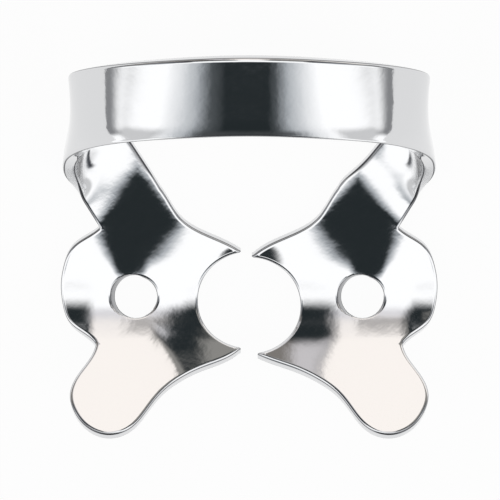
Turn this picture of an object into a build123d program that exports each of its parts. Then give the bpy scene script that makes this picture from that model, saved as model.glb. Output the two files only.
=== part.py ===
"""Rubber dam clamp for a premolar: one sheet of spring steel, stamped, folded and bent.

X runs across the clamp, Y from the wings towards the bow, Z up.
The two necks lie flat on the ground, the bow arches over behind and the wings rise in front.
"""
import os
from math import atan2, cos, radians, sin, sqrt

from build123d import *

# Sheet
SHEET = 0.85            # thickness of the steel

# Bow, measured over its outer face
BOW_SPAN = 22.75        # width over the two hips
BOW_HEIGHT = 12.0       # top of the arch above the ground
BOW_REACH = 9.03        # from the neck corner back to the front edge of the arch top
BAND_WIDTH = 4.68       # width of the band at the top of the arch
NECK_WIDTH = 4.54       # width of the band where it joins the jaw
NECK_TRIM = 0.65        # the right side of the band is this much narrower at its fold

# Jaws, measured in the flat sheet: X from the middle of the clamp, Y along the sheet
NECK_Y = 4.95           # corner between neck and side lobe
BITE_RADIUS = 3.2       # round bite around the tooth
BITE_Y = 0.17           # middle of the bite on the left jaw
BITE_SHIFT = -0.36      # the right bite sits this much further forward
PRONG_GAP = 0.52        # rear prong tip of the left jaw to the middle of the clamp
PRONG_EXTRA_LENGTH = 0.36  # the rear prong of the right jaw reaches this much further in
PRONG_TIP = 0.18        # width of the blunt prong tips
LOBE_X = 11.7           # outermost point of the side lobe
WING_X = 11.03          # outermost point of the wing
WING_Y = -8.76          # foremost point of the wing
HOLE_RADIUS = 1.33      # forceps hole
HOLE_X = 7.05
HOLE_Y = 0.42

# Rise of the wings in front of the bite
BEND_START = 2.3        # where the sheet starts to bend up
BEND_RADIUS = 6.4       # to the middle of the sheet
WING_ANGLE = 42.0

# Band of the bow from the neck (first) to the top of the arch (last).
# Each row places the front edge as shares of half span, reach and height,
# then gives the direction across the band (degrees outward in plan and degrees
# of dip), how far the band bulges, as a share of its width, and the share of the trim.
BAND_ROWS = [
    (0.843, 0.000, 0.000, -56.1, 0.0, 0.000, 0.00),
    (0.880, 0.076, 0.000, -57.0, 0.0, 0.000, 0.10),
    (0.916, 0.150, 0.000, -56.5, 0.0, 0.000, 0.48),
    (0.950, 0.224, 0.017, -51.0, 2.3, 0.010, 0.85),
    (0.973, 0.304, 0.060, -41.0, 6.8, 0.060, 1.00),
    (0.991, 0.376, 0.104, -26.0, 11.9, 0.123, 0.80),
    (1.000, 0.449, 0.164, -15.0, 14.8, 0.060, 0.40),
    (0.993, 0.526, 0.231, -10.0, 15.0, 0.005, 0.10),
    (0.968, 0.599, 0.321, -5.0, 14.5, 0.000, 0.00),
    (0.885, 0.725, 0.509, 8.5, 13.0, 0.000, 0.00),
    (0.749, 0.836, 0.706, 12.0, 12.0, 0.000, 0.00),
    (0.402, 0.956, 0.926, 5.5, 2.5, 0.000, 0.00),
    (0.000, 1.000, 1.000, 0.0, 0.0, 0.000, 0.00),
]

# Jaw outline between the driving points, as shares of the sizes above.
PRONG_BACK = [(0.862, 0.833), (0.761, 0.732), (0.559, 0.629), (0.331, 0.552)]
WING_EDGE = [
    (0.163, 0.442, 0.33),
    (0.276, 0.499, 0.25),
    (0.386, 0.574, 0.20),
    (0.497, 0.692, 0.00),
    (0.579, 0.834, 0.00),
    (0.661, 0.951, 0.00),
    (0.780, 1.000, 0.00),
    (0.898, 0.945, 0.00),
    (0.979, 0.811, 0.00),
    (1.000, 0.708, 0.00),
    (0.973, 0.579, 0.00),
    (0.907, 0.451, 0.00),
    (0.861, 0.314, 0.00),
]
LOBE_EDGE = [
    (0.897, 0.118),
    (0.956, 0.199),
    (0.990, 0.344),
    (1.000, 0.513),
    (0.983, 0.682),
    (0.940, 0.827),
    (0.868, 0.914),
]


def band_edges(row, place, trim):
    """Front and rear edge point of the band, on the middle of the sheet."""
    across, back, up, plan, dip, _, share = row
    width = NECK_WIDTH + (BAND_WIDTH - NECK_WIDTH) * place ** 3 - trim * share
    front = Vector(
        across * (BOW_SPAN - SHEET) / 2,
        NECK_Y + back * BOW_REACH,
        SHEET / 2 + up * (BOW_HEIGHT - SHEET),
    )
    turn = radians(plan)
    drop = radians(dip)
    direction = Vector(sin(turn) * cos(drop), cos(turn) * cos(drop), -sin(drop))
    return front, front + direction * width


def mirrored(point):
    return Vector(-point.X, point.Y, point.Z)


def band_grid():
    """Points on the middle of the sheet: rows across the band, left neck to right neck."""
    last = len(BAND_ROWS) - 1
    left = [band_edges(row, i / last, 0) for i, row in enumerate(BAND_ROWS)]
    right = [band_edges(row, i / last, NECK_TRIM) for i, row in enumerate(BAND_ROWS)]
    edges = [tuple(mirrored(p) for p in pair) for pair in left] + right[-2::-1]
    bulges = [row[5] for row in BAND_ROWS]
    bulges = bulges + bulges[-2::-1]
    middles = [(front + rear) / 2 for front, rear in edges]
    grid = []
    for i, (front, rear) in enumerate(edges):
        along = middles[min(i + 1, len(edges) - 1)] - middles[max(i - 1, 0)]
        out = along.cross(rear - front).normalized()
        swell = out * (bulges[i] * (rear - front).length)
        grid.append((front, middles[i] + swell, rear))
    return grid


def sheet_normals(grid):
    """Outward direction at each grid point; straight up at the two necks."""
    normals = []
    for i, row in enumerate(grid):
        if i in (0, len(grid) - 1):
            normals.append([Vector(0, 0, -1)] * 3)
            continue
        line = []
        for j in range(3):
            along = grid[i + 1][j] - grid[i - 1][j]
            across = row[min(j + 1, 2)] - row[max(j - 1, 0)]
            line.append(along.cross(across).normalized())
        normals.append(line)
    return normals


def band_section(points, normals):
    """Cross-section of the sheet along one row of the grid."""
    outer = [p + n * (SHEET / 2) for p, n in zip(points, normals)]
    inner = [p - n * (SHEET / 2) for p, n in zip(points, normals)]
    return Wire([
        Edge.make_spline(outer),
        Edge.make_line(outer[-1], inner[-1]),
        Edge.make_spline(inner[::-1]),
        Edge.make_line(inner[0], outer[0]),
    ])


def bow():
    grid = band_grid()
    normals = sheet_normals(grid)
    sections = [band_section(p, n) for p, n in zip(grid, normals)]
    return Solid.make_loft(sections)


def on_sheet(x, along, lift):
    """Place of a flat-sheet point on the bent jaw, lifted off the middle of the sheet."""
    middle = SHEET / 2
    if along >= BEND_START:
        return Vector(x, along, middle + lift)
    turn = min((BEND_START - along) / BEND_RADIUS, radians(WING_ANGLE))
    rest = BEND_START - along - turn * BEND_RADIUS
    radius = BEND_RADIUS - lift
    y = BEND_START - radius * sin(turn) - rest * cos(turn)
    z = middle + BEND_RADIUS - radius * cos(turn) + rest * sin(turn)
    return Vector(x, y, z)


def sheet_tilt(along):
    """How far the sheet has turned up at this place, in radians."""
    return min(max((BEND_START - along) / BEND_RADIUS, 0), radians(WING_ANGLE))


def underside():
    """Lower faces of neck, bend and wing in one wide strip, before they are cut to outline."""
    bend_end = BEND_START - radians(WING_ANGLE) * BEND_RADIUS
    bend_middle = (BEND_START + bend_end) / 2
    stops = [NECK_Y + NECK_WIDTH, BEND_START, bend_middle, bend_end, WING_Y - SHEET]
    rear, start, middle, end, front = (on_sheet(0, stop, -SHEET / 2) for stop in stops)
    profile = [
        Edge.make_line(rear, start),
        Edge.make_three_point_arc(start, middle, end),
        Edge.make_line(end, front),
    ]
    across = Vector(LOBE_X + SHEET, 0, 0)
    return [Face.extrude(edge, across) for edge in profile]


def bite_point(x, shift, side):
    """Point on the round bite at this distance from the middle; side is 1 rear, -1 front."""
    return x, BITE_Y + shift + side * sqrt(BITE_RADIUS ** 2 - x ** 2)


def prong_tip(gap, shift, side):
    """Blunt tip of one prong: three points from its back edge round to the bite."""
    inner = bite_point(gap + PRONG_TIP / 2, shift, side)
    middle = (gap, inner[1] + side * PRONG_TIP / 2)
    return [(gap + PRONG_TIP * 0.7, inner[1] + side * PRONG_TIP), middle, inner]


def bite(first, last, shift):
    """Points round the bite from one prong to the other."""
    middle = BITE_Y + shift
    begin = atan2(first[1] - middle, first[0])
    end = atan2(last[1] - middle, last[0])
    steps = [begin + (end - begin) * i / 10 for i in range(11)]
    return [(BITE_RADIUS * cos(a), middle + BITE_RADIUS * sin(a)) for a in steps]


def jaw_runs(shift, stretch):
    """Runs of flat-sheet points around the right jaw; each run is one smooth edge."""
    corner, rear = band_edges(BAND_ROWS[0], 0, 0)
    rear_tip = prong_tip(PRONG_GAP - stretch, shift, 1)
    front_tip = prong_tip(PRONG_GAP, shift, -1)[::-1]
    back = [(rear.X, rear.Y)] + [(rear.X * u, rear.Y * v) for u, v in PRONG_BACK] + [rear_tip[0]]
    wing = [(WING_X * u, WING_Y * v + shift * pull) for u, v, pull in WING_EDGE]
    waist = wing[-1]
    depth = corner.Y - waist[1]
    lobe = [(LOBE_X * u, waist[1] + depth * v) for u, v in LOBE_EDGE]
    neck = (corner.X, corner.Y)
    return [
        back,
        rear_tip,
        bite(rear_tip[-1], front_tip[0], shift),
        front_tip,
        [front_tip[-1]] + wing,
        [waist] + lobe + [neck],
        [neck, back[0]],
    ]


def plan_edge(run):
    """One run of the outline seen from above, where it lies on the underside of the sheet."""
    points = [on_sheet(x, along, -SHEET / 2) for x, along in run]
    flat = [Vector(p.X, p.Y, -SHEET) for p in points]
    return Edge.make_line(*flat) if len(flat) == 2 else Edge.make_spline(flat)


def plate(runs):
    """Neck, bend and wing cut to outline, with edges square to the sheet."""
    outline = Face(Wire([plan_edge(run) for run in runs]))
    column = Solid.extrude(outline, Vector(0, 0, BOW_HEIGHT))
    parts = []
    for strip in underside():
        for face in strip.intersect(column).faces():
            facing = 1 if face.normal_at().Z > 0 else -1
            parts.append(Solid.thicken(face, facing * SHEET))
    return parts[0].fuse(*parts[1:])


def forceps_hole():
    """Round hole square to the sheet."""
    tilt = sheet_tilt(HOLE_Y)
    out = Vector(0, sin(tilt), cos(tilt))
    base = on_sheet(HOLE_X, HOLE_Y, -SHEET)
    return Solid.make_cylinder(HOLE_RADIUS, 2 * SHEET, Plane(base, z_dir=out))


def jaw(shift, stretch):
    return plate(jaw_runs(shift, stretch)).cut(forceps_hole())


def on_origin(solid):
    """Shift the clamp so that its box stands centred on the origin, with its foot at Z = 0."""
    box = solid.bounding_box()
    middle = box.center()
    return solid.moved(Location((-middle.X, -middle.Y, -box.min.Z)))


def clamp():
    right = jaw(BITE_SHIFT, PRONG_EXTRA_LENGTH)
    left = jaw(0, 0).mirror(Plane.YZ)
    return on_origin(bow().fuse(right, left))


def main():
    os.makedirs("parts", exist_ok=True)
    export_step(clamp(), "parts/clamp.step")


main()
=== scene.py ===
"""Polished rubber dam clamp lying on a white table, seen from above and a little behind."""

import math

import bpy
import numpy as np
from bpy.props import FloatProperty, FloatVectorProperty, PointerProperty
from mathutils import Matrix, Vector
from mathutils.geometry import delaunay_2d_cdt


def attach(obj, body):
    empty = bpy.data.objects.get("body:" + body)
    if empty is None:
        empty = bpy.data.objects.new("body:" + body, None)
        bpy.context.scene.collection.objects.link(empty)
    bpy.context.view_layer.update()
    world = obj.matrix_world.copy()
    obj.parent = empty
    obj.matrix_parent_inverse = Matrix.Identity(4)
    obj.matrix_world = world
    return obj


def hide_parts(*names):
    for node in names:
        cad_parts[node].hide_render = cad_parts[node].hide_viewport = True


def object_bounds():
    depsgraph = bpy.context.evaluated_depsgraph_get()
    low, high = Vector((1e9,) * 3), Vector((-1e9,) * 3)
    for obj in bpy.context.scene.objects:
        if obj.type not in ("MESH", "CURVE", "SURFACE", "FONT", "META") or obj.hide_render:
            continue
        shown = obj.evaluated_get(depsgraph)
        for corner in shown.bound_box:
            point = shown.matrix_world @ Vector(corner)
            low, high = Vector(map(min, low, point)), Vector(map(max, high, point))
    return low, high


bl_info = {
    "name": "Rubber Dam Clamp",
    "version": (1, 0, 0),
    "blender": (4, 5, 0),
    "location": "3D View > Sidebar > Clamp",
    "description": "Builds a polished rubber dam clamp and its studio",
    "category": "Object",
}

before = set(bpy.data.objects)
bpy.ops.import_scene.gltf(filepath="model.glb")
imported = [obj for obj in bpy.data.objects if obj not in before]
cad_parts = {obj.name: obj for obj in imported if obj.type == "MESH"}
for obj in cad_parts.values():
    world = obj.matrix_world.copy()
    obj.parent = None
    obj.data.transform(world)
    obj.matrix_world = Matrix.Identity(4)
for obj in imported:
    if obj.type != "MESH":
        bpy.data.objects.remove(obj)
CAD_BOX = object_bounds()
MM = 0.001

# The clamp in its own millimetres: X across, Y from the wings to the bow, Z up.
SHEET = 0.85
BOW_SPAN = 22.75
BOW_HEIGHT = 12.0
BOW_REACH = 9.03
BAND_WIDTH = 4.68
NECK_WIDTH = 4.54
NECK_TRIM = 0.65
NECK_Y = 4.95
BITE_RADIUS = 3.2
BITE_Y = 0.17
BITE_SHIFT = -0.36
PRONG_GAP = 0.52
PRONG_EXTRA_LENGTH = 0.36
PRONG_TIP = 0.18
LOBE_X = 11.7
WING_X = 11.03
WING_Y = -8.76
HOLE_RADIUS = 1.33
HOLE_X = 7.05
HOLE_Y = 0.42
BEND_START = 2.3
BEND_RADIUS = 6.4
WING_ANGLE = math.radians(42.0)
HOLE_TURN = (BEND_START - HOLE_Y) / BEND_RADIUS
HOLE_CENTRE_Y = BEND_START - BEND_RADIUS * math.sin(HOLE_TURN)

# Band rows from the neck to the top of the arch: front edge as shares of half span, reach
# and height, direction across the band in degrees, bulge and trim.
BAND_ROWS = [
    (0.843, 0.000, 0.000, -56.1, 0.0, 0.000, 0.00),
    (0.880, 0.076, 0.000, -57.0, 0.0, 0.000, 0.10),
    (0.916, 0.150, 0.000, -56.5, 0.0, 0.000, 0.48),
    (0.950, 0.224, 0.017, -51.0, 2.3, 0.010, 0.85),
    (0.973, 0.304, 0.060, -41.0, 6.8, 0.060, 1.00),
    (0.991, 0.376, 0.104, -26.0, 11.9, 0.123, 0.80),
    (1.000, 0.449, 0.164, -15.0, 14.8, 0.060, 0.40),
    (0.993, 0.526, 0.231, -10.0, 15.0, 0.005, 0.10),
    (0.968, 0.599, 0.321, -5.0, 14.5, 0.000, 0.00),
    (0.885, 0.725, 0.509, 8.5, 13.0, 0.000, 0.00),
    (0.749, 0.836, 0.706, 12.0, 12.0, 0.000, 0.00),
    (0.402, 0.956, 0.926, 5.5, 2.5, 0.000, 0.00),
    (0.000, 1.000, 1.000, 0.0, 0.0, 0.000, 0.00),
]

# Edges of the right jaw: the back of the rear prong as shares of the neck's rear corner, the
# wing as shares of its size and of the bite's shift, and the lobe as shares of its width and of
# the way from the waist to the neck.
PRONG_BACK = [(0.862, 0.833), (0.761, 0.732), (0.559, 0.629), (0.331, 0.552)]
WING_EDGE = [
    (0.163, 0.442, 0.33),
    (0.276, 0.499, 0.25),
    (0.386, 0.574, 0.20),
    (0.497, 0.692, 0.00),
    (0.579, 0.834, 0.00),
    (0.661, 0.951, 0.00),
    (0.780, 1.000, 0.00),
    (0.898, 0.945, 0.00),
    (0.979, 0.811, 0.00),
    (1.000, 0.708, 0.00),
    (0.973, 0.579, 0.00),
    (0.907, 0.451, 0.00),
    (0.861, 0.314, 0.00),
]
LOBE_EDGE = [
    (0.897, 0.118),
    (0.956, 0.199),
    (0.990, 0.344),
    (1.000, 0.513),
    (0.983, 0.682),
    (0.940, 0.827),
    (0.868, 0.914),
]

# How finely the mesh follows the sheet, in millimetres where it is a length.
ACROSS = 26             # mesh cells across the band between its rims
RIM_TURNS = (0, 18, 36, 54, 72, 90)  # degrees of the rim's rounding at each facet
CURVE_SAMPLES = 40      # samples of a spline for each of its points
BITE_STEPS = 10
HOLE_STEPS = 96
HOLE_RINGS = 0.5        # width of the ring of finer mesh round each hole
HOLE_RING_COUNT = 6
TIP_STEP = 0.04         # spacing of the outline round a prong's tip
ROW_SHARE = 0.87        # spacing of the rows of the fill as a share of the mesh step
BLOCK = 2000            # points that are measured at once
NEAR_SEAM = 0.003       # points of jaw and band this close are one point
WALL_SHARE = 0.4        # height of the two rows on the sheet's edge as a share of half its thickness
RING_KEPT = 0.97        # share of its step that a ring's point keeps from every edge
HOLE_GAP = 0.0001       # least distance of a point from the forceps hole
# Room beside the edge, beside the finer ring of the hole and beside the joint, in mesh steps:
EDGE_ROOM, RING_ROOM, JOINT_ROOM = 0.45, 0.3, 0.35

# Of two values for the two jaws, the left jaw's comes first. Other pairs say where a smooth step
# begins and ends, and four numbers say where it rises and where it falls again.
# The pressed-in edge on the left side of both holes, its reach, depth and direction:
BURR_LEFT = 0.36
BURR_DROP = 0.45
BURR_WAY = (-0.94, 0.34)
BURR_TAPER, BURR_ROUND = 0.7, 1.5

# The flat of each neck, and the tilt around it:
FLAT_X, FLAT_Y = (6.85, 6.7), 5.3
FLAT_HALF_X, FLAT_UP_Y, FLAT_DOWN_Y = 2.7, (3.8, 3.1), 4.3
FLAT_LEAN = (0.7, 0.75)
FLAT_FOOT = (0.2, 0.5)
FLAT_END = (0.4, 1.9)
CROWN_PITCH = math.radians(10.0)
# The tilt is steeper or gentler outside and inside of the flat below it, and above it.
STEEPER_OUT, STEEPER_IN, STEEPER_UP = 0.6, -0.25, 0.45
STEEP_DOWN, STEEP_UP_Y, STEEP_SIDE = (0.05, 0.4), (0.0, 0.6), (-0.4, 0.4)
BEND_SLOPE = (0.002, 0.045)
FOLD_SLOPE = (0.015, 0.1)

# The roll of the lobes, of the bite's edge and of the fold:
LOBE_ROLL = math.radians(4.0)
LOBE_CROWN_X = (9.3, 9.0)
LOBE_END_Y = (-3.0, -1.4)
BITE_ROLL = (math.radians(1.49), math.radians(2.4))
BITE_CROWN_X = (8.37, 7.1)
JAW_END_Y = (0.6, 3.2)
FOLD_ROLL = math.radians(10.0)
FOLD_REACH, FOLD_LEVEL = (0.8, 1.7), (0.3, 0.9)

# The dip of the front prongs, of the notch at the waist and of the wing:
PRONG_DIP = (math.radians(12.5), math.radians(9.5))
PRONG_DIP_Y = (0.8, 1.9)
PRONG_EASE = (math.radians(0.0), math.radians(4.0))
PRONG_EASE_Y = (1.5, 2.5)
PRONG_SOFT = (0.9, 1.9)
PRONG_ROOT_X = 7.5      # inner end of each prong's root at the middle of the jaw
PRONG_ROOT_SLOPE = 0.78
NOTCH_X, NOTCH_Y, NOTCH_END_Y = (9.7, 10.2), (0.4, 1.6), (-3.4, -1.8)
WING_DIP = math.radians(5.5)
WING_DIP_Y, WING_DIP_END_Y = (0.8, 2.0), (-4.6, -2.4)

# The line on each jaw along which its flat runs on to the hole:
FOOT_X = 7.43
FOOT_PULL = math.radians(3.4)
FOOT_SIDE, FOOT_Y = (0.7, 1.4), (0.9, 1.7, 1.9, 3.3)

# The worn bevel of the rear prongs beside the bite:
BEVEL_WIDTH = (1.0, 1.4)
BEVEL_INNER = 0.3
BEVEL_Y, BEVEL_END_X = (2.0, 2.8), (-3.1, -1.1)
BEVEL_SLOPE = (-0.15, 0.29)

# The shading of the bend and of the band:
BEND_SOFT = 1.1         # reach of the gradual start and end of the bend, in millimetres
BAND_CURL = 0.26        # slope of the band's front edge
BAND_CURL_REACH, BAND_CURL_Z = (0.1, 1.1), (4.5, 6.5)
BAND_TWIST = math.radians(6.0)  # twist of the band between its front and rear edge
BAND_TWIST_Z = (4.0, 6.5)

# The painted shade along the edges, a near-black line that stands in for the dark the rims mirror, and where
# it is wider than elsewhere:
RIM_SHADE_FRONT_X = (8.2, 8.6)
RIM_SHADE_LOW, RIM_SHADE_LOW_Y = 4.0, (5.0, 6.0, 7.4, 8.4)
RIM_SHADE_HIGH, RIM_SHADE_HIGH_Y = 5.0, (8.0, 9.0, 10.4, 11.2)
RIM_SHADE_END_Z = (1.5, 3.0)
RIM_SHADE_TIP, RIM_SHADE_TIP_Y, RIM_SHADE_TIP_X = 2.2, (5.7, 6.5), (7.6, 8.6)
# On the pressed-in edge the painted shade line is capped, which paints the pressed-in crescent half dark.
RIM_SHADE_PRESSED = 0.12     # where the line ends at most on the pressed-in edge, in widths of the rim

# Finish of the steel: scale and height of each pattern, the depth of the relief in metres, and
# the reach of the painted shade line along the rims and of the wear in widths of the rim.
RIPPLE_SCALE, STREAK_SCALE, GRAIN_SCALE, WEAR_SCALE = 560.0, (1500.0, 9000.0, 3000.0), 5200.0, 2400.0
RIPPLE_HEIGHT, STREAK_HEIGHT, GRAIN_HEIGHT, WEAR_HEIGHT = 4.0, 0.25, 0.25, 1.1
RELIEF_DEPTH = 0.0000055
RIM_SHADE_REACH, WORN_REACH = (0.0, 0.25), (1.0, 6.0)

# Where the steel's polish is uneven, in metres in the clamp's frame.
FOLD_SIDE_M, FOLD_Y_M, FOLD_Z_M = (0.0098, 0.0103), (0.0016, 0.0024, 0.0042, 0.005), (0.002, 0.003)
BOW_END_SIDE_M, BOW_END_Z_M = (0.0086, 0.0098), (0.003, 0.005)
STREAK_TURN = math.radians(-38.0)
RIM_SHADE_SHARES = (0.12, 0.12, 0.13)  # colour of the painted shade line along the rims as shares of the steel's colour

LIT_SHARE = 0.95        # part of the table's light that is its own, seen by eye and in mirrors
TABLE_HALF = 0.6        # half the table's width, in metres

# Tones of the surroundings that the steel mirrors.
WHITE = (1.42, 1.42, 1.42, 1.0)
WARM = (1.36, 1.28, 1.21, 1.0)
GREY = (0.35, 0.34, 0.32, 1.0)
DARK = (0.024, 0.031, 0.034, 1.0)
BLUE = (0.3, 0.4, 0.5, 1.0)
LILAC = (0.72, 0.71, 0.76, 1.0)
PINK = (0.78, 0.75, 0.76, 1.0)
BROWN = (0.28, 0.26, 0.24, 1.0)
LEDGE = (0.36, 0.34, 0.33, 1.0)
FRONT = (0.08, 0.085, 0.09, 1.0)
CORNER = (0.06, 0.065, 0.075, 1.0)
FLANK = (0.42, 0.44, 0.47, 1.0)
STRIP = (0.185, 0.19, 0.2, 1.0)

# Where the cards stand. The lean is in degrees from straight up towards the bow, and the side
# is the share of a direction that points to the left or to the right.
OVERHEAD_LEAN = (-60.0, -48.0, -14.2, -4.5)
OVERHEAD_SIDE = ((0.0, 1.0), (0.22, 1.0), (0.35, 0.95), (0.42, 0.78), (0.48, 0.5), (0.60, 0.18), (0.72, 0.0))
OVERHEAD_SHIFT, OVERHEAD_SHIFT_SIDE = 0.11, (0.1, 0.3)
FRONT_LEAN, FRONT_SIDE = (-95.0, -85.0, -48.0, -36.0), (0.3, 0.5)
WALL_LEAN = (26.0, 46.0)
SEAM_LEAN, SEAM_SHARE = (23.0, 35.0, 35.0, 50.0), 0.6
LEDGE_LEAN, LEDGE_SIDE, LEDGE_SHARE = (36.0, 43.0, 43.5, 48.0), (-0.03, 0.03), 0.7
REAR_LEAN, REAR_SIDE = (6.0, 16.0, 50.0, 64.0), (0.52, 0.6, 0.8, 0.9)
FORE_LEAN, FORE_SIDE, FORE_SHARE = (-82.0, -70.0, -50.0, -26.0), (0.58, 0.7, 0.9, 0.97), 0.45
FLANK_LEAN, FLANK_SIDE, FLANK_SHARE = (-8.0, 22.0, 34.0, 60.0), (0.6, 0.82), 0.75
STRIP_HEIGHT, STRIP_SIDE, STRIP_SHARE = (0.05, 0.24), (0.85, 0.93), 0.9

# The cards behind the bow leave a gap for the warm wall, and only the right one slants.
RIGHT_SIDE = (-0.05, 0.05)
GAP_SIDE, GAP_WIDER, GAP_LEAN, GAP_SOFT = 0.075, 0.08, (45.0, 62.0), (0.0, 0.14)
SLANT, SLANT_SIDE = 18.0, (0.07, 0.24)
BEHIND_LEAN, BEHIND_END = (13.5, 32.0), (70.0, 80.0)
PALER_LEAN, PALER_SIDE = (30.0, 38.0), (0.27, 0.34)
GREY_LEAN = (40.5, 49.0)
BROWN_SIDE = (0.31, 0.42)
UNDER_LEAN = (38.0, 56.0)

# Camera, in the clamp's own millimetres.
CAMERA_TILT = math.radians(18.0)
CAMERA_REACH = 200.0
CAMERA_ACROSS = 0.05
CAMERA_BACK = 3.06
CLAMP_MIDDLE_Y = 5.83   # middle of the clamp's length
CAMERA_SENSOR = 36.0
CAMERA_ZOOM = 6.4       # lens length in widths of the sensor


# Curves


def spline(points, spacing):
    """Smooth curve through the points, evenly sampled."""
    p = np.array(points, float)
    knots = np.concatenate([[0], np.cumsum(np.linalg.norm(np.diff(p, axis=0), axis=1))])
    fine = cubic(knots, p, np.linspace(0, knots[-1], CURVE_SAMPLES * len(p)))
    run = np.concatenate([[0], np.cumsum(np.linalg.norm(np.diff(fine, axis=0), axis=1))])
    at = np.linspace(0, run[-1], max(2, int(round(run[-1] / spacing)) + 1))
    return np.stack([np.interp(at, run, fine[:, k]) for k in range(p.shape[1])], 1)


def cubic(knots, values, at):
    """Cubic spline with relaxed ends."""
    n = len(knots)
    h = np.diff(knots)
    m = np.eye(n)
    r = np.zeros(values.shape)
    for i in range(1, n - 1):
        m[i, i - 1] = h[i - 1]
        m[i, i] = 2 * (h[i - 1] + h[i])
        m[i, i + 1] = h[i]
        r[i] = 6 * ((values[i + 1] - values[i]) / h[i] - (values[i] - values[i - 1]) / h[i - 1])
    if n > 3:
        m[0, 0], m[0, 1], m[0, 2] = h[1], -(h[0] + h[1]), h[0]
        m[-1, -1], m[-1, -2], m[-1, -3] = h[-2], -(h[-2] + h[-1]), h[-1]
    curve = np.linalg.solve(m, r)
    i = np.clip(np.searchsorted(knots, at) - 1, 0, n - 2)
    a = (knots[i + 1] - at)[:, None]
    b = (at - knots[i])[:, None]
    w = h[i][:, None]
    return (
        curve[i] * a**3 / (6 * w)
        + curve[i + 1] * b**3 / (6 * w)
        + (values[i] / w - curve[i] * w / 6) * a
        + (values[i + 1] / w - curve[i + 1] * w / 6) * b
    )


# The sheet


def band_edges(row, place, trim):
    """Front and rear edge point of the band, on the middle of the sheet."""
    across, back, up, plan, dip, _, share = row
    width = NECK_WIDTH + (BAND_WIDTH - NECK_WIDTH) * place**3 - trim * share
    front = np.array([
        across * (BOW_SPAN - SHEET) / 2,
        NECK_Y + back * BOW_REACH,
        SHEET / 2 + up * (BOW_HEIGHT - SHEET),
    ])
    turn, drop = math.radians(plan), math.radians(dip)
    way = np.array([math.sin(turn) * math.cos(drop), math.cos(turn) * math.cos(drop), -math.sin(drop)])
    return front, front + way * width


def band_grid():
    """Rows of front, middle and rear points, from the left neck over the arch to the right neck."""
    last = len(BAND_ROWS) - 1
    left = [band_edges(row, i / last, 0) for i, row in enumerate(BAND_ROWS)]
    right = [band_edges(row, i / last, NECK_TRIM) for i, row in enumerate(BAND_ROWS)]
    flip = np.array([-1, 1, 1])
    edges = [(a * flip, b * flip) for a, b in left] + right[-2::-1]
    bulges = [row[5] for row in BAND_ROWS]
    bulges = bulges + bulges[-2::-1]
    middles = [(a + b) / 2 for a, b in edges]
    grid = []
    for i, (a, b) in enumerate(edges):
        along = middles[min(i + 1, len(edges) - 1)] - middles[max(i - 1, 0)]
        out = np.cross(along, b - a)
        out = out / np.linalg.norm(out)
        grid.append((a, middles[i] + out * bulges[i] * np.linalg.norm(b - a), b))
    return np.array(grid)


def rim_steps(rim):
    """Distances from an edge at which the rounding of the rim is cut into facets."""
    return [rim * (1 - math.cos(math.radians(a))) for a in RIM_TURNS]


def smooth(value, low, high):
    """Smooth step from 0 at low to 1 at high, on numbers or arrays."""
    t = np.clip((value - low) / (high - low), 0, 1)
    return t * t * (3 - 2 * t)


def between(value, begin, full, fall, end):
    """Smooth rise from begin to full and fall from fall to end."""
    return smooth(value, begin, full) * (1 - smooth(value, fall, end))


def stations(width, rim):
    """Distances from the front edge at which the band is cut lengthwise."""
    near = rim_steps(rim)
    middle = np.linspace(near[-1], width - near[-1], ACROSS + 1)[1:-1]
    return np.concatenate([near, middle, width - np.array(near[::-1])])


def bow_surface(spacing, rim):
    """Middle points, normals of the side that is up at the necks, and distances from the nearer
    edge and from the front edge, in rows."""
    grid = band_grid()
    middle = grid[:, 1]
    knots = np.concatenate([[0], np.cumsum(np.linalg.norm(np.diff(middle, axis=0), axis=1))])
    at = np.linspace(0, knots[-1], int(knots[-1] / spacing) + 1)
    flat = cubic(knots, grid.reshape(len(grid), 9), at).reshape(-1, 3, 3)
    points, depths, shares, cuts = [], [], [], []
    for front, mid, rear in flat:
        width = np.linalg.norm(rear - front)
        cut = stations(width, rim)
        shares.append(cut / width)
        cuts.append(cut)
        s = (cut / width)[:, None]
        points.append(front * (1 - s) * (1 - 2 * s) + mid * 4 * s * (1 - s) + rear * s * (2 * s - 1))
        depths.append(np.minimum(cut, width - cut))
    points = np.array(points)
    along = np.gradient(points, axis=0)
    across = np.gradient(points, axis=1)
    normals = np.cross(across, along)
    normals /= np.linalg.norm(normals, axis=2)[:, :, None]
    normals[0] = normals[-1] = (0, 0, 1)
    along /= np.linalg.norm(along, axis=2)[:, :, None]
    twist = BAND_TWIST * (0.5 - np.array(shares)) * smooth(points[:, :, 2], *BAND_TWIST_Z) * along[:, :, 2]
    normals -= along * twist[:, :, None]
    normals /= np.linalg.norm(normals, axis=2)[:, :, None]
    return points, normals, np.array(depths), np.array(cuts)


def on_sheet(flat):
    """Places and upward normals of flat-sheet points on the middle of the bent jaw."""
    x, along = flat[:, 0], flat[:, 1]
    turn = np.clip((BEND_START - along) / BEND_RADIUS, 0, WING_ANGLE)
    rest = BEND_START - along - turn * BEND_RADIUS
    y = BEND_START - BEND_RADIUS * np.sin(turn) - rest * np.cos(turn)
    z = SHEET / 2 + BEND_RADIUS * (1 - np.cos(turn)) + np.maximum(rest, 0) * np.sin(turn)
    return np.stack([x, y, z], 1), np.stack([0 * x, np.sin(turn), np.cos(turn)], 1)


def bite_point(x, shift, side):
    """Point on the round bite at this distance from the middle; side is 1 rear, -1 front."""
    return x, BITE_Y + shift + side * math.sqrt(BITE_RADIUS**2 - x**2)


def prong_tip(gap, shift, side):
    """Blunt tip of one prong: three points from its back edge round to the bite."""
    inner = bite_point(gap + PRONG_TIP / 2, shift, side)
    middle = (gap, inner[1] + side * PRONG_TIP / 2)
    return [(gap + PRONG_TIP * 0.7, inner[1] + side * PRONG_TIP), middle, inner]


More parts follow.
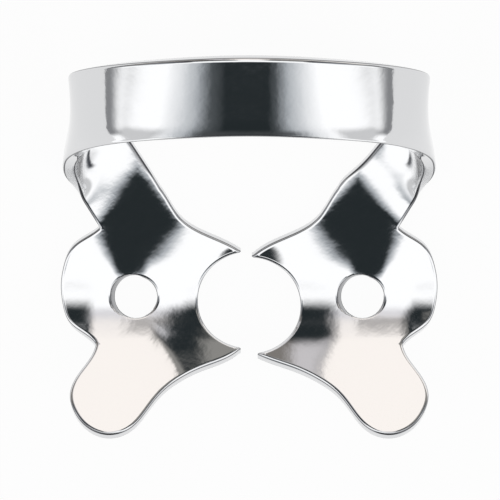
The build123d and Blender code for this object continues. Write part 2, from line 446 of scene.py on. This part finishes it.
def bite(first, last, shift):
    """Points round the bite from one prong to the other."""
    middle = BITE_Y + shift
    begin = math.atan2(first[1] - middle, first[0])
    end = math.atan2(last[1] - middle, last[0])
    steps = [begin + (end - begin) * i / BITE_STEPS for i in range(BITE_STEPS + 1)]
    return [(BITE_RADIUS * math.cos(a), middle + BITE_RADIUS * math.sin(a)) for a in steps]


def jaw_outline(shift, extra, spacing):
    """Outline of the right jaw in the flat sheet, from the band's rear edge round to its front."""
    corner, rear = band_edges(BAND_ROWS[0], 0, 0)
    rear_tip = prong_tip(PRONG_GAP - extra, shift, 1)
    front_tip = prong_tip(PRONG_GAP, shift, -1)[::-1]
    back = [(rear[0], rear[1])] + [(rear[0] * u, rear[1] * v) for u, v in PRONG_BACK] + [rear_tip[0]]
    wing = [(WING_X * u, WING_Y * v + shift * pull) for u, v, pull in WING_EDGE]
    waist = wing[-1]
    depth = corner[1] - waist[1]
    lobe = [(LOBE_X * u, waist[1] + depth * v) for u, v in LOBE_EDGE]
    neck = (corner[0], corner[1])
    runs = [
        back,
        rear_tip,
        bite(rear_tip[-1], front_tip[0], shift),
        front_tip,
        [front_tip[-1]] + wing,
        [waist] + lobe + [neck],
    ]
    points = []
    for run in runs:
        step = TIP_STEP if run in (rear_tip, front_tip) else spacing
        points.extend(spline(run, step)[:-1])
    return np.array(points + [neck])


def inside(points, loop):
    """Which points lie inside the closed loop."""
    x, y = points[:, 0][:, None], points[:, 1][:, None]
    x0, y0 = loop[:, 0][None], loop[:, 1][None]
    x1, y1 = np.roll(loop[:, 0], -1)[None], np.roll(loop[:, 1], -1)[None]
    cross = ((y0 > y) != (y1 > y)) & (x < (x1 - x0) * (y - y0) / (y1 - y0 + 1e-12) + x0)
    return cross.sum(1) % 2 == 1


def from_hole(points):
    """Distance of each flat-sheet point from the forceps hole, below zero inside it."""
    return np.hypot(points[:, 0] - HOLE_X, points[:, 1] - HOLE_Y) - HOLE_RADIUS


def depth_in(points, edge):
    """Distance of each point from an open run of edge and from the forceps hole."""
    a, b = edge[:-1], edge[1:]
    way = b - a
    length = (way**2).sum(1)
    found = np.empty(len(points))
    for i in range(0, len(points), BLOCK):
        p = points[i : i + BLOCK, None]
        t = np.clip(((p - a) * way).sum(2) / length, 0, 1)[:, :, None]
        found[i : i + BLOCK] = np.sqrt(((a + t * way - p) ** 2).sum(2).min(1))
    return np.minimum(found, np.abs(from_hole(points)))


def hex_fill(low, high, spacing):
    """Rows of points over the box, each row set off by half a step."""
    rows = np.arange(low[1], high[1], spacing * ROW_SHARE)
    points = []
    for i, y in enumerate(rows):
        xs = np.arange(low[0] + (i % 2) * spacing / 2, high[0], spacing)
        points.append(np.stack([xs, np.full(len(xs), y)], 1))
    return np.concatenate(points)


def inset_rings(edge, hole_turns, rim):
    """Points that follow the edge and the hole at each step of the rim's rounding."""
    way = np.gradient(edge, axis=0)
    inward = np.stack([-way[:, 1], way[:, 0]], 1)
    inward /= np.linalg.norm(inward, axis=1)[:, None]
    rings = []
    for step in rim_steps(rim)[1:]:
        ring = edge + inward * step
        rings.append(ring[depth_in(ring, edge) > step * RING_KEPT])
    for step in [*rim_steps(rim)[1:], *np.linspace(rim, HOLE_RINGS, HOLE_RING_COUNT)[1:]]:
        r = HOLE_RADIUS + step
        rings.append(np.stack([HOLE_X + r * np.cos(hole_turns), HOLE_Y + r * np.sin(hole_turns)], 1))
    return np.concatenate(rings)


def jaw_surface(shift, extra, spacing, rim):
    """Flat-sheet points, their distances from the edge and triangles of the right jaw."""
    edge = jaw_outline(shift, extra, spacing)
    corner, rear = band_edges(BAND_ROWS[0], 0, 0)
    width = np.linalg.norm(rear - corner)
    share = (stations(width, rim)[1:-1] / width)[:, None]
    joint = corner[:2] * (1 - share) + rear[:2] * share
    loop = np.concatenate([edge, joint])
    turns = np.linspace(0, 2 * math.pi, HOLE_STEPS + 1)[:-1]
    ring = np.stack([HOLE_X + HOLE_RADIUS * np.cos(turns), HOLE_Y + HOLE_RADIUS * np.sin(turns)], 1)
    fill = hex_fill(loop.min(0), loop.max(0), spacing)
    fill = fill[depth_in(fill, edge) > rim + spacing * EDGE_ROOM]
    fill = fill[from_hole(fill) > HOLE_RINGS + spacing * RING_ROOM]
    free = np.concatenate([inset_rings(edge, turns, rim), fill])
    free = free[inside(free, loop)]
    free = free[from_hole(free) > HOLE_GAP]
    gap = np.sqrt(((free[:, None] - joint[None]) ** 2).sum(2)).min(1)
    free = free[gap > spacing * JOINT_ROOM]
    points = [Vector(p) for p in np.concatenate([loop, ring, free])]
    n, m = len(loop), len(ring)
    loops = [list(range(n)), list(range(n, n + m))]
    verts, _, faces, _, _, _ = delaunay_2d_cdt(points, [], loops, 1, 1e-6)
    flat = np.array([tuple(v) for v in verts])
    kept = [list(face) for face in faces if from_hole(flat[list(face)].mean(0)[None])[0] > -0.001]
    return flat, depth_in(flat, edge), kept


def half_thickness(depth, rim, rim_height):
    """Half the sheet's thickness at this distance from its edge."""
    run = np.clip(1 - depth / rim, 0, 1)
    return SHEET / 2 - rim_height * (1 - np.sqrt(1 - run**2))


def hole_drop(places):
    """How far the upper face is pressed down on the left side of each forceps hole."""
    y = HOLE_Y + (places[:, 1] - HOLE_CENTRE_Y) / math.cos(HOLE_TURN)
    x = places[:, 0] - np.sign(places[:, 0]) * HOLE_X
    out = np.hypot(x, y - HOLE_Y) - HOLE_RADIUS
    left = np.maximum(x * BURR_WAY[0] + (y - HOLE_Y) * BURR_WAY[1], 0) / HOLE_RADIUS
    reach = BURR_LEFT * np.clip(left, 0, 1) ** BURR_TAPER + 1e-6
    return BURR_DROP * np.clip(1 - out / reach, 0, 1) ** BURR_ROUND


def rim_shade_widening(places):
    """How much wider the painted shade line along the rims is at the two edges of each neck and at the wing
    tips.
    """
    x, y, z = np.abs(places[:, 0]), places[:, 1], places[:, 2]
    front = smooth(x, *RIM_SHADE_FRONT_X)
    low = RIM_SHADE_LOW * front * between(y, *RIM_SHADE_LOW_Y)
    high = RIM_SHADE_HIGH * (1 - front) * between(y, *RIM_SHADE_HIGH_Y)
    tip = RIM_SHADE_TIP * smooth(-y, *RIM_SHADE_TIP_Y) * smooth(x, *RIM_SHADE_TIP_X)
    return 1 + (low + high) * (1 - smooth(z, *RIM_SHADE_END_Z)) + tip


def joined_surface(spacing, rim):
    """Middle points, normals, edge distances, distances from the band's front edge and faces of
    the whole clamp, joined at the necks."""
    points, normals, depths, cuts = bow_surface(spacing, rim)
    rows, columns = points.shape[:2]
    places = [tuple(p) for p in points.reshape(-1, 3)]
    ups = [tuple(n) for n in normals.reshape(-1, 3)]
    depth = list(depths.reshape(-1))
    ahead = list(cuts.reshape(-1))
    faces = []
    for i in range(rows - 1):
        for j in range(columns - 1):
            k = i * columns + j
            faces.append((k, k + columns, k + columns + 1, k + 1))
    ends = {1: range((rows - 1) * columns, rows * columns), -1: range(columns)}
    for side, shift, extra in ((1, BITE_SHIFT, PRONG_EXTRA_LENGTH), (-1, 0.0, 0.0)):
        flat, deep, tris = jaw_surface(shift, extra, spacing, rim)
        place, up = on_sheet(flat)
        place[:, 0] *= side
        seam = np.array([places[k] for k in ends[side]])
        index = []
        for p, u, d in zip(place, up, deep):
            gap = np.linalg.norm(seam - p, axis=1)
            if gap.min() < NEAR_SEAM:
                index.append(ends[side][int(gap.argmin())])
            else:
                index.append(len(places))
                places.append(tuple(p))
                ups.append(tuple(u))
                depth.append(d)
                ahead.append(BAND_WIDTH)
        faces.extend(tuple(index[i] for i in tri) for tri in tris)
    return np.array(places), np.array(ups), np.array(depth), np.array(ahead), faces


def facing_up(places, ups, faces):
    """The faces, each turned so that it looks along the sheet's upward normal."""
    turned = []
    for face in faces:
        if len(set(face)) < 3:
            continue
        a, b, c = (places[i] for i in face[:3])
        up = ups[face[0]] + ups[face[1]] + ups[face[2]]
        turned.append(face if np.dot(np.cross(b - a, c - a), up) > 0 else face[::-1])
    return turned


def eased_bend(y):
    """Extra turn that lets the bend of the wings start and end gradually."""
    end = BEND_START - BEND_RADIUS * math.sin(WING_ANGLE)
    gap = BEND_RADIUS * 4 * BEND_SOFT
    first = np.maximum(BEND_SOFT - np.abs(y - BEND_START), 0) ** 2 / gap
    last = np.maximum(BEND_SOFT - np.abs(y - end), 0) ** 2 / gap / math.cos(WING_ANGLE) ** 2
    return first - last


def neck_pitch(x, y, side, slope):
    """Backward tilt around the flat of each neck."""
    flat_x, up_y, lean = (np.where(side < 0, *pair) for pair in (FLAT_X, FLAT_UP_Y, FLAT_LEAN))
    foot = np.where(side < 0, *FLAT_FOOT)
    down = np.maximum(FLAT_Y - y, 0) / FLAT_DOWN_Y
    off_flat = np.maximum(np.abs(x - flat_x - lean * down) - foot * down, 0) / FLAT_HALF_X
    off_flat = off_flat + down + np.maximum(y - FLAT_Y, 0) / up_y
    outer = smooth(x - flat_x - lean * down, *STEEP_SIDE)
    beside = STEEPER_IN + (STEEPER_OUT - STEEPER_IN) * outer
    steeper = smooth(down, *STEEP_DOWN) * beside + STEEPER_UP * smooth(y - FLAT_Y, *STEEP_UP_Y)
    off_flat = 1 + (off_flat - 1) * (1 + steeper)
    level = 1 - np.where(y > BEND_START, smooth(slope, *FOLD_SLOPE), smooth(slope, *BEND_SLOPE))
    return CROWN_PITCH * smooth(off_flat, *FLAT_END) * level


def jaw_roll(x, y, side, up_z):
    """Outward tilt of the lobes and, inwards, of the bite's edge and the fold."""
    flat_x, up_y, lobe_x = (np.where(side < 0, *pair) for pair in (FLAT_X, FLAT_UP_Y, LOBE_CROWN_X))
    bite_roll, bite_x = (np.where(side < 0, *pair) for pair in (BITE_ROLL, BITE_CROWN_X))
    lobe = LOBE_ROLL * np.maximum(x - lobe_x, 0) * smooth(y, *LOBE_END_Y)
    bite_side = bite_roll * np.minimum(x - bite_x, 0)
    toward_fold = (x - flat_x) / FLAT_HALF_X + (y - FLAT_Y) / up_y
    fold = FOLD_ROLL * smooth(toward_fold, *FOLD_REACH) * smooth(up_z, *FOLD_LEVEL)
    return (lobe + bite_side) * (1 - smooth(y, *JAW_END_Y)) - fold


def forward_dip(x, y, side):
    """Forward tilt of the front prongs, the notches and the wings."""
    dip, ease, soft = (np.where(side < 0, *pair) for pair in (PRONG_DIP, PRONG_EASE, PRONG_SOFT))
    dip = dip * smooth(-y, *PRONG_DIP_Y) - ease * smooth(-y, *PRONG_EASE_Y)
    prong = dip * smooth(PRONG_ROOT_X + PRONG_ROOT_SLOPE * y - x, -0.3 * soft, soft)
    notch = smooth(x, *NOTCH_X) * smooth(-y, *NOTCH_Y) * smooth(y, *NOTCH_END_Y)
    wing = WING_DIP * smooth(y, *WING_DIP_END_Y) * smooth(-y, *WING_DIP_Y)
    return np.maximum(np.maximum(prong, PRONG_DIP[0] * notch), wing)


def bevelled(x, y, side):
    """Share of the worn bevel beside the bite."""
    width = np.where(side < 0, *BEVEL_WIDTH)
    ring = smooth(-np.hypot(x, y - BITE_Y), -BITE_RADIUS - width, -BITE_RADIUS - BEVEL_INNER)
    return ring * smooth(y, *BEVEL_Y) * smooth(-x, *BEVEL_END_X)


def crowned(places, ups, ahead):
    """The sheet's normals with the slight crown that stamping and polishing leave in it."""
    x, y = np.abs(places[:, 0]), places[:, 1]
    side = np.sign(places[:, 0])
    pitch = neck_pitch(x, y, side, 1 - ups[:, 2])
    roll = jaw_roll(x, y, side, ups[:, 2])
    prong = forward_dip(x, y, side)
    pull = FOOT_PULL * (1 - smooth(np.abs(x - FOOT_X), *FOOT_SIDE)) * between(y, *FOOT_Y)
    bevel = bevelled(x, y, side)
    curl = BAND_CURL * (1 - smooth(ahead, *BAND_CURL_REACH)) * smooth(places[:, 2], *BAND_CURL_Z)
    turn_x = side * (np.tan(roll) + BEVEL_SLOPE[0] * bevel)
    turn_y = np.tan(pitch) - np.tan(prong) - np.tan(pull) + BEVEL_SLOPE[1] * bevel + eased_bend(y) + curl
    found = ups + np.stack([turn_x, turn_y, 0 * x], 1)
    return found / np.linalg.norm(found, axis=1)[:, None]


def open_edges(faces):
    """Edges that belong to one face only, in that face's direction."""
    seen = {}
    for face in faces:
        for a, b in zip(face, face[1:] + face[:1]):
            seen[(a, b)] = True
    return [pair for pair in seen if (pair[1], pair[0]) not in seen]


def edge_walls(edges, places, ups, half, pressed):
    """Two rows of points round every open edge, and the faces that join top and underside there."""
    count = len(places)
    ring = {}
    extra = []
    walls = []
    for a, b in edges:
        for k in (a, b):
            if k not in ring:
                ring[k] = (2 * count + len(extra), 2 * count + len(extra) + 1)
                extra.append(places[k] + ups[k] * (half[k] * WALL_SHARE - pressed[k]))
                extra.append(places[k] - ups[k] * half[k] * WALL_SHARE)
        column_a = (a, ring[a][0], ring[a][1], a + count)
        column_b = (b, ring[b][0], ring[b][1], b + count)
        for i in range(3):
            walls.append((column_b[i], column_a[i], column_a[i + 1], column_b[i + 1]))
    return np.array(extra), walls


def placed(mesh, co):
    """Scale the mesh to metres and move it to the CAD box."""
    low, high = CAD_BOX
    centre = (low + high) / 2
    mine = (co.min(0) + co.max(0)) / 2 * MM
    move = Vector((centre.x - mine[0], centre.y - mine[1], low.z - co[:, 2].min() * MM))
    mesh.transform(Matrix.Translation(move) @ Matrix.Scale(MM, 4))


def finished_sheet(size):
    """Thick sheet with softened rims, in metres and in the CAD frame."""
    rim = size.rim
    places, ups, depth, ahead, faces = joined_surface(size.mesh_step, rim)
    faces = facing_up(places, ups, faces)
    half = half_thickness(depth, rim, size.rim_height)[:, None]
    pressed = hole_drop(places)[:, None]
    count = len(places)
    extra, walls = edge_walls(open_edges(faces), places, ups, half, pressed)
    lower = [tuple(i + count for i in face[::-1]) for face in faces]
    co = np.concatenate([places + ups * (half - pressed), places - ups * half, extra])
    mesh = bpy.data.meshes.new("clamp_sheet")
    mesh.from_pydata(co.tolist(), [], [*faces, *lower, *walls])
    mesh.validate()
    placed(mesh, co)
    mesh.polygons.foreach_set("use_smooth", [True] * len(mesh.polygons))
    # Distance for the painted shade line along the rims: wider at the necks and wing tips, and capped on the
    # pressed-in edge so that its crescent is painted half dark.
    line = depth / rim_shade_widening(places)
    above = np.where(pressed[:, 0] > 0.01, np.minimum(line, RIM_SHADE_PRESSED * rim), line)
    line = np.concatenate([above, line, np.full(len(extra), 2 * rim)]) / rim
    mesh.attributes.new("edge_depth", "FLOAT", "POINT").data.foreach_set("value", line)
    mesh.update()
    flat = depth > rim * 0.99
    level = np.concatenate([flat & (pressed[:, 0] == 0), flat, np.zeros(len(extra), bool)])
    normals = np.empty(len(mesh.vertices) * 3)
    mesh.vertices.foreach_get("normal", normals)
    normals = normals.reshape(-1, 3)
    shaped = crowned(places, ups, ahead)
    exact = np.concatenate([shaped, -shaped, np.zeros((len(extra), 3))])
    normals[level] = exact[level]
    mesh.normals_split_custom_set_from_vertices(normals.tolist())
    return mesh


# Shader maths


class Socket:
    """A shader value that can be written in sums."""

    def __init__(self, tree, socket):
        self.tree = tree
        self.socket = socket

    def _math(self, operation, a, b):
        return self.tree.node("ShaderNodeMath", {"operation": operation}, {0: a, 1: b})[0]

    def __add__(self, other):
        return self._math("ADD", self, other)

    def __radd__(self, other):
        return self._math("ADD", other, self)

    def __sub__(self, other):
        return self._math("SUBTRACT", self, other)

    def __rsub__(self, other):
        return self._math("SUBTRACT", other, self)

    def __mul__(self, other):
        return self._math("MULTIPLY", self, other)

    def __rmul__(self, other):
        return self._math("MULTIPLY", other, self)


class Tree:
    """Node tree of one material or world."""

    def __init__(self, node_tree):
        self.nodes = node_tree.nodes
        self.links = node_tree.links
        self.nodes.clear()

    def node(self, kind, settings=None, values=None):
        """Add a node of this type with its settings and inputs, and give back its outputs."""
        made = self.nodes.new(kind)
        for name, value in (settings or {}).items():
            if name == "stops":
                ramp = made.color_ramp
                while len(ramp.elements) > 1:
                    ramp.elements.remove(ramp.elements[-1])
                for i, (place, colour) in enumerate(value):
                    stop = ramp.elements[0] if i == 0 else ramp.elements.new(place)
                    stop.position = place
                    stop.color = colour
            else:
                setattr(made, name, value)
        for key, value in (values or {}).items():
            slot = made.inputs[key]
            if isinstance(value, Socket):
                self.links.new(value.socket, slot)
            else:
                slot.default_value = value
        return [Socket(self, out) for out in made.outputs if out.enabled]


def magnitude(tree, value):
    """The value without its sign."""
    return tree.node("ShaderNodeMath", {"operation": "ABSOLUTE"}, {0: value})[0]


def rising(tree, value, low, high):
    """Smooth step of a shader value from 0 at low to 1 at high."""
    values = {"Value": value, "From Min": low, "From Max": high}
    return tree.node("ShaderNodeMapRange", {"interpolation_type": "SMOOTHSTEP"}, values)[0]


def within(tree, value, begin, full, fall, end):
    """Smooth rise of a shader value from begin to full and fall from fall to end."""
    return rising(tree, value, begin, full) * (1 - rising(tree, value, fall, end))


def eased(value):
    """A smooth step made quicker at its start."""
    return value * (2 - value)


def mixed(tree, factor, first, second):
    """Blend of two colours: the first at factor 0, the second at 1."""
    return tree.node("ShaderNodeMix", {"data_type": "RGBA"}, {"Factor": factor, "A": first, "B": second})[0]


def noise(tree, place, scale, detail):
    """Noise value from 0 to 1."""
    return tree.node("ShaderNodeTexNoise", {}, {"Vector": place, "Scale": scale, "Detail": detail})[0]


# Sizes and colours


class ClampSettings(bpy.types.PropertyGroup):
    """Sizes and finish of the clamp"""

    rim: FloatProperty(
        name="Rim",
        description="Width of the softened edge in millimetres",
        default=0.22,
        min=0.02,
        max=0.4,
    )
    rim_height: FloatProperty(
        name="Rim height",
        description="Drop of the softened edge in millimetres",
        default=0.14,
        min=0.02,
        max=0.3,
    )
    mesh_step: FloatProperty(
        name="Mesh step",
        description="Spacing of the mesh in millimetres",
        default=0.18,
        min=0.1,
        max=1.0,
    )
    steel: FloatVectorProperty(
        name="Steel",
        description="Colour of the polished steel",
        subtype="COLOR",
        default=(0.7, 0.705, 0.715),
    )
    polish: FloatProperty(
        name="Polish",
        description="Roughness of the polished steel",
        default=0.07,
        min=0.0,
        max=1.0,
        subtype="FACTOR",
    )


class StudioSettings(bpy.types.PropertyGroup):
    """Colour of the table"""

    paper: FloatVectorProperty(
        name="Paper",
        description="Colour of the white table",
        subtype="COLOR",
        default=(0.9, 0.9, 0.9),
    )


# Materials


def worn_zones(tree, place, edge):
    """Where the polish is uneven: near the edges and bow ends, and inside the folds."""
    x, y, z = tree.node("ShaderNodeSeparateXYZ", {}, {"Vector": place})
    side = magnitude(tree, x)
    fold = rising(tree, side, *FOLD_SIDE_M) * within(tree, y, *FOLD_Y_M) * (1 - rising(tree, z, *FOLD_Z_M))
    bow_end = rising(tree, side, *BOW_END_SIDE_M) * rising(tree, z, *BOW_END_Z_M)
    by_edge = 1 - rising(tree, edge, *WORN_REACH)
    worn = tree.node("ShaderNodeMath", {"operation": "MAXIMUM"}, {0: by_edge, 1: bow_end})[0]
    return worn, fold


def steel_material(look):
    """Polished spring steel with drawn streaks, a soft ripple, and rougher edges with a near-black line of
    painted shade along them.
    """
    material = bpy.data.materials.new("polished_steel")
    material.use_nodes = True
    tree = Tree(material.node_tree)
    place = tree.node("ShaderNodeTexCoord")[3]
    turned = tree.node(
        "ShaderNodeVectorRotate",
        {"rotation_type": "Z_AXIS"},
        {"Vector": place, "Angle": STREAK_TURN},
    )[0]
    drawn = tree.node("ShaderNodeMapping", {}, {"Vector": turned, "Scale": STREAK_SCALE})[0]
    streaks = noise(tree, drawn, 1.0, 4.0)
    ripple = noise(tree, place, RIPPLE_SCALE, 3.0)
    grain = noise(tree, place, GRAIN_SCALE, 2.0)
    edge = tree.node("ShaderNodeAttribute", {"attribute_name": "edge_depth"})[2]
    # Near the rims the steel is rougher, and its colour turns near-black as painted shade for the dark that
    # the rims mirror.
    rough_rim_and_painted_shade = 1 - rising(tree, edge, *RIM_SHADE_REACH)
    worn, fold = worn_zones(tree, place, edge)
    wear = noise(tree, place, WEAR_SCALE, 2.0) * worn
    height = ripple * RIPPLE_HEIGHT + streaks * STREAK_HEIGHT + grain * GRAIN_HEIGHT + wear * WEAR_HEIGHT
    rough = look.polish * 0.5 + streaks * look.polish * 0.9 + rough_rim_and_painted_shade * 0.25 + fold * 0.2
    relief = tree.node(
        "ShaderNodeBump",
        {},
        {"Strength": 0.5, "Distance": RELIEF_DEPTH, "Height": height},
    )[0]
    bright = (*look.steel, 1.0)
    # Near-black colour of the painted shade along the rims.
    rim_shade_colour = (*(tone * share for tone, share in zip(look.steel, RIM_SHADE_SHARES)), 1.0)
    surface = tree.node(
        "ShaderNodeBsdfPrincipled",
        {},
        {
            "Base Color": mixed(tree, rough_rim_and_painted_shade, bright, rim_shade_colour),
            "Metallic": 1 - fold * 0.5,
            "Roughness": rough,
            "Normal": relief,
        },
    )[0]
    tree.node("ShaderNodeOutputMaterial", {}, {"Surface": surface})
    return material


def paper_material(colour):
    """Bright white table with a trace of tooth, which still takes a faint shadow."""
    material = bpy.data.materials.new("white_table")
    material.use_nodes = True
    tree = Tree(material.node_tree)
    place = tree.node("ShaderNodeTexCoord")[3]
    tooth = noise(tree, place, 900.0, 3.0)
    relief = tree.node("ShaderNodeBump", {}, {"Strength": 0.05, "Distance": 0.00002, "Height": tooth})[0]
    matt = tree.node(
        "ShaderNodeBsdfPrincipled",
        {},
        {"Base Color": (*colour, 1.0), "Roughness": 0.75, "Normal": relief},
    )[0]
    path = {out.socket.name: out for out in tree.node("ShaderNodeLightPath")}
    seen = path["Is Camera Ray"] + path["Is Glossy Ray"] + path["Is Transmission Ray"]
    bright = tree.node("ShaderNodeEmission", {}, {"Color": (1.0, 1.0, 1.0, 1.0), "Strength": 1.0})[0]
    share = tree.node("ShaderNodeMath", {"operation": "MINIMUM"}, {0: seen, 1: 1.0})[0] * LIT_SHARE
    surface = tree.node("ShaderNodeMixShader", {}, {0: share, 1: matt, 2: bright})[0]
    tree.node("ShaderNodeOutputMaterial", {}, {"Surface": surface})
    return material


# Operators


class CLAMP_OT_sheet(bpy.types.Operator):
    """Make the stamped and folded steel sheet"""

    bl_idname = "clamp.sheet"
    bl_label = "Clamp sheet"

    def execute(self, context):
        look = context.scene.clamp_settings
        piece = bpy.data.objects.new("clamp_sheet", finished_sheet(look))
        context.scene.collection.objects.link(piece)
        piece.data.materials.clear()
        piece.data.materials.append(steel_material(look))
        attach(piece, "root")
        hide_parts("clamp")
        return {"FINISHED"}


class CLAMP_OT_studio(bpy.types.Operator):
    """Make the table, the bright surroundings and the camera"""

    bl_idname = "clamp.studio"
    bl_label = "Studio"

    def execute(self, context):
        paper = context.scene.studio_settings.paper
        floor = table(paper)
        surroundings()
        camera()
        return {"FINISHED"}


def table(colour):
    """Flat table just under the clamp."""
    low, _ = CAD_BOX
    signs = [(-1, -1), (1, -1), (1, 1), (-1, 1)]
    mesh = bpy.data.meshes.new("table_top")
    mesh.from_pydata([(TABLE_HALF * i, TABLE_HALF * j, low.z) for i, j in signs], [], [(0, 1, 2, 3)])
    floor = bpy.data.objects.new("table_top", mesh)
    bpy.context.scene.collection.objects.link(floor)
    mesh.materials.append(paper_material(colour))
    return floor


def overhead_card(tree, x, aside, lean):
    """Share of the dark card above the bow, by direction."""
    profile = tree.node(
        "ShaderNodeValToRGB",
        {"stops": [(stop, (share, share, share, 1.0)) for stop, share in OVERHEAD_SIDE]},
        {"Fac": aside + rising(tree, x, *OVERHEAD_SHIFT_SIDE) * OVERHEAD_SHIFT},
    )[0]
    return profile * within(tree, lean, *OVERHEAD_LEAN)


def cards_behind(tree, tone, x, aside, lean):
    """Add the dark cards behind the bow, to the left and the right of the warm wall."""
    right = rising(tree, x, *RIGHT_SIDE)
    gap = rising(tree, lean, *GAP_LEAN) * GAP_WIDER + GAP_SIDE
    outside = eased(rising(tree, aside - gap, *GAP_SOFT))
    slant = right * (1 - rising(tree, x, *SLANT_SIDE)) * SLANT
    behind = outside * rising(tree, lean - slant, *BEHIND_LEAN) * (1 - rising(tree, lean, *BEHIND_END))
    paler = rising(tree, lean, *PALER_LEAN) * rising(tree, aside, *PALER_SIDE) * right
    tone = mixed(tree, behind, tone, mixed(tree, paler, DARK, GREY))
    tone = mixed(tree, behind * rising(tree, lean, *GREY_LEAN) * right, tone, GREY)
    pale = mixed(tree, rising(tree, aside, *BROWN_SIDE), PINK, BROWN)
    under = rising(tree, lean, *UNDER_LEAN)
    return mixed(tree, outside * under * under * (1 - right), tone, pale)


def side_cards(tree, tone, aside, lean, z):
    """Add the grey cards in the corners and on the flanks, and the low strip at the horizon."""
    rear = within(tree, lean, *REAR_LEAN) * within(tree, aside, *REAR_SIDE)
    fore = within(tree, lean, *FORE_LEAN) * within(tree, aside, *FORE_SIDE)
    tone = mixed(tree, rear + fore * FORE_SHARE, tone, CORNER)
    flank = within(tree, lean, *FLANK_LEAN) * rising(tree, aside, *FLANK_SIDE)
    tone = mixed(tree, flank * FLANK_SHARE, tone, FLANK)
    low = (1 - rising(tree, z, *STRIP_HEIGHT)) * rising(tree, aside, *STRIP_SIDE)
    return mixed(tree, low * STRIP_SHARE, tone, STRIP)


def surroundings():
    """White softboxes round the table with dark gaps between them and a warm wall behind the bow."""
    world = bpy.data.worlds.new("studio")
    bpy.context.scene.world = world
    world.use_nodes = True
    tree = Tree(world.node_tree)
    way = tree.node("ShaderNodeTexCoord")[0]
    x, y, z = tree.node("ShaderNodeSeparateXYZ", {}, {"Vector": way})
    aside = magnitude(tree, x)
    lean = tree.node("ShaderNodeMath", {"operation": "ARCTAN2"}, {0: y, 1: z})[0] * math.degrees(1)
    overhead = overhead_card(tree, x, aside, lean)
    tone = mixed(tree, overhead, WHITE, DARK)
    tone = mixed(tree, overhead * (1 - overhead), tone, BLUE)
    front = within(tree, lean, *FRONT_LEAN) * (1 - rising(tree, aside, *FRONT_SIDE))
    tone = mixed(tree, front, tone, FRONT)
    tone = mixed(tree, rising(tree, lean, *WALL_LEAN), tone, WARM)
    tone = mixed(tree, within(tree, lean, *SEAM_LEAN) * SEAM_SHARE, tone, LILAC)
    ledge = within(tree, lean, *LEDGE_LEAN) * rising(tree, x, *LEDGE_SIDE)
    tone = mixed(tree, ledge * LEDGE_SHARE, tone, LEDGE)
    tone = cards_behind(tree, tone, x, aside, lean)
    tone = side_cards(tree, tone, aside, lean, z)
    glow = tree.node("ShaderNodeBackground", {}, {"Color": tone, "Strength": 1.0})[0]
    tree.node("ShaderNodeOutputWorld", {}, {"Surface": glow})


def camera():
    """Camera above the clamp, leaning over from the bow's side."""
    low, high = CAD_BOX
    shift = (low.y + high.y) / 2 - CLAMP_MIDDLE_Y * MM
    data = bpy.data.cameras.new("camera")
    data.sensor_width = CAMERA_SENSOR
    data.lens = CAMERA_SENSOR * CAMERA_ZOOM
    data.clip_start = 0.01
    data.clip_end = 10.0
    eye = bpy.data.objects.new("camera", data)
    bpy.context.scene.collection.objects.link(eye)
    right = Vector((1, 0, 0))
    up = Vector((0, math.cos(CAMERA_TILT), -math.sin(CAMERA_TILT)))
    away = Vector((0, math.sin(CAMERA_TILT), math.cos(CAMERA_TILT)))
    spot = (right * CAMERA_ACROSS + up * CAMERA_BACK + away * CAMERA_REACH) * MM + Vector((0, shift, 0))
    turn = Matrix((right, up, away)).transposed()
    eye.matrix_world = Matrix.Translation(spot) @ turn.to_4x4()
    bpy.context.scene.camera = eye


class CLAMP_PT_panel(bpy.types.Panel):
    """Sizes, colours and buttons of the clamp"""

    bl_label = "Rubber Dam Clamp"
    bl_space_type = "VIEW_3D"
    bl_region_type = "UI"
    bl_category = "Clamp"

    def draw(self, context):
        """List the settings and the two operators."""
        look = context.scene.clamp_settings
        for name in ("rim", "rim_height", "mesh_step", "steel", "polish"):
            self.layout.prop(look, name)
        self.layout.operator("clamp.sheet")
        self.layout.prop(context.scene.studio_settings, "paper")
        self.layout.operator("clamp.studio")


CLASSES = (ClampSettings, StudioSettings, CLAMP_OT_sheet, CLAMP_OT_studio, CLAMP_PT_panel)


def register():
    """Add the classes and their settings to Blender."""
    for cls in CLASSES:
        bpy.utils.register_class(cls)
    bpy.types.Scene.clamp_settings = PointerProperty(type=ClampSettings)
    bpy.types.Scene.studio_settings = PointerProperty(type=StudioSettings)


def unregister():
    """Take the classes and their settings out again."""
    del bpy.types.Scene.studio_settings
    del bpy.types.Scene.clamp_settings
    for cls in reversed(CLASSES):
        bpy.utils.unregister_class(cls)


def main():
    register()
    bpy.ops.clamp.sheet()
    bpy.ops.clamp.studio()
    bpy.context.scene.view_settings.view_transform = "Standard"


if __name__ == "__main__":
    main()
